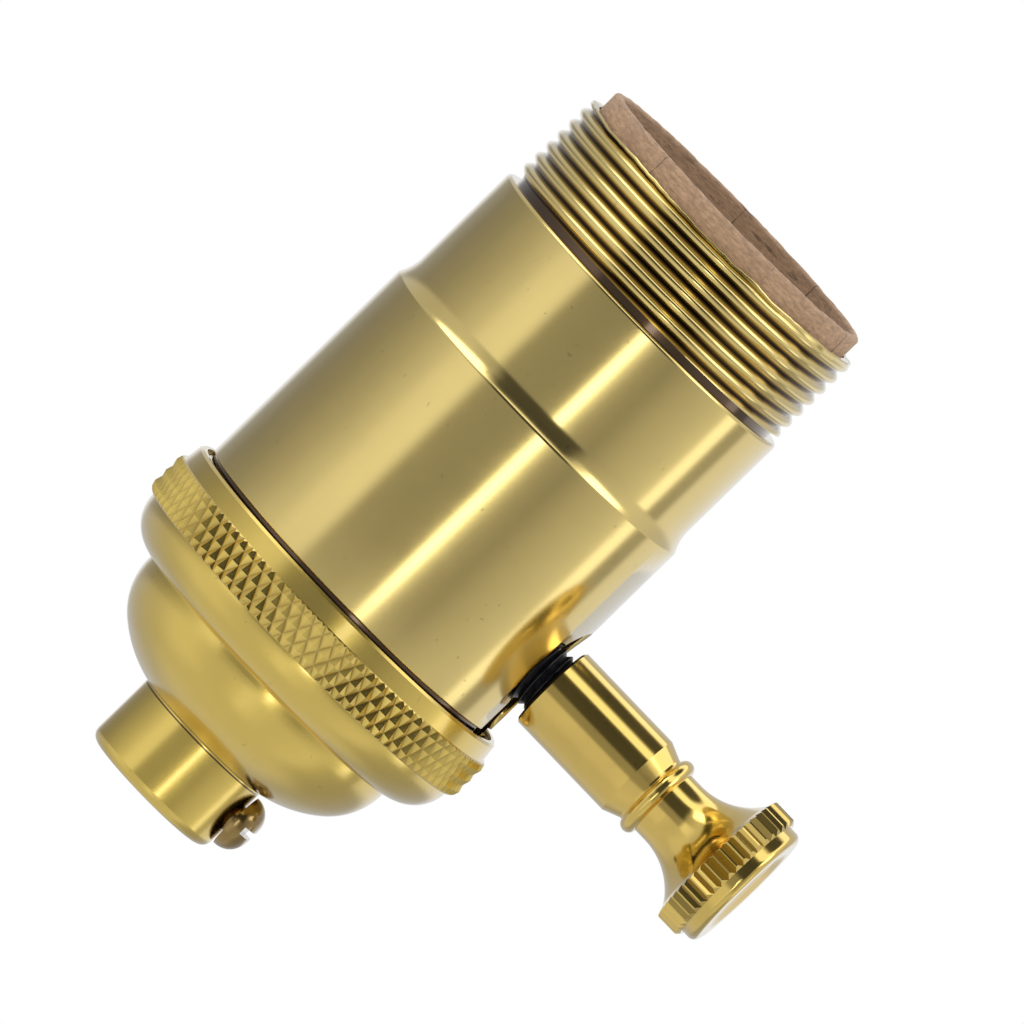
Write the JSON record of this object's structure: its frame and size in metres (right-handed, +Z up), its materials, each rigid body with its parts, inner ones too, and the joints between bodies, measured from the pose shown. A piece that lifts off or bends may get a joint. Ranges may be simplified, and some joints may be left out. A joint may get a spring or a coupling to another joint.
{
  "type": "lamp holder",
  "caption": "Turned brass screw lamp holder with a knurled cap, a threaded shell for a shade, a paper lining and a side turn knob that works its switch.",
  "frame": {"origin": "centre of the lower face of the threaded neck, where the holder screws on its nipple", "axes": "+Z runs up the socket from neck to mouth, +X points along the turn knob, +Y completes the right-handed set"},
  "size_m": [0.0635, 0.039, 0.0742],
  "materials": {
    "brass": "satin-polished turned brass with fine turning lines",
    "brass_knob": "bright turned brass",
    "screw_brass": "dark plain brass",
    "contact_brass": "plain stamped sheet brass",
    "steel": "plated steel",
    "phenolic": "black moulded phenolic",
    "stem_black": "black threaded moulding",
    "paper": "brown insulating paper, rolled, with a soft edge",
    "fibre": "grey-brown vulcanised fibre"
  },
  "bodies": {
    "holder": {"cap": "brass", "neck_set_screw": "screw_brass", "shell": "brass", "paper_sleeve": "paper", "cap_insulator": "fibre", "switch_base": "phenolic", "switch_body": "phenolic", "body_screw_front": "steel", "body_screw_back": "steel", "screw_shell": "contact_brass", "screw_shell_rivet_front": "contact_brass", "screw_shell_rivet_back": "contact_brass", "centre_contact": "contact_brass", "centre_contact_rivet": "contact_brass", "line_terminal_plate": "contact_brass", "neutral_terminal_plate": "steel", "line_terminal_screw": "screw_brass", "neutral_terminal_screw": "steel", "line_contact_spring": "contact_brass", "load_contact_spring": "contact_brass", "index_spring": "steel"},
    "turn_knob": {"rotor": "phenolic", "rotor_contact": "contact_brass", "stem": "stem_black", "stem_clip": "steel", "knob": "brass_knob"}
  },
  "joints": [
    {"name": "knob_turn", "type": "hinge", "parent": "holder", "child": "turn_knob", "pos_m": [0, 0, 0.0328], "axis": [1, 0, 0], "continuous": true, "deforming": ["index_spring"]}
  ]
}
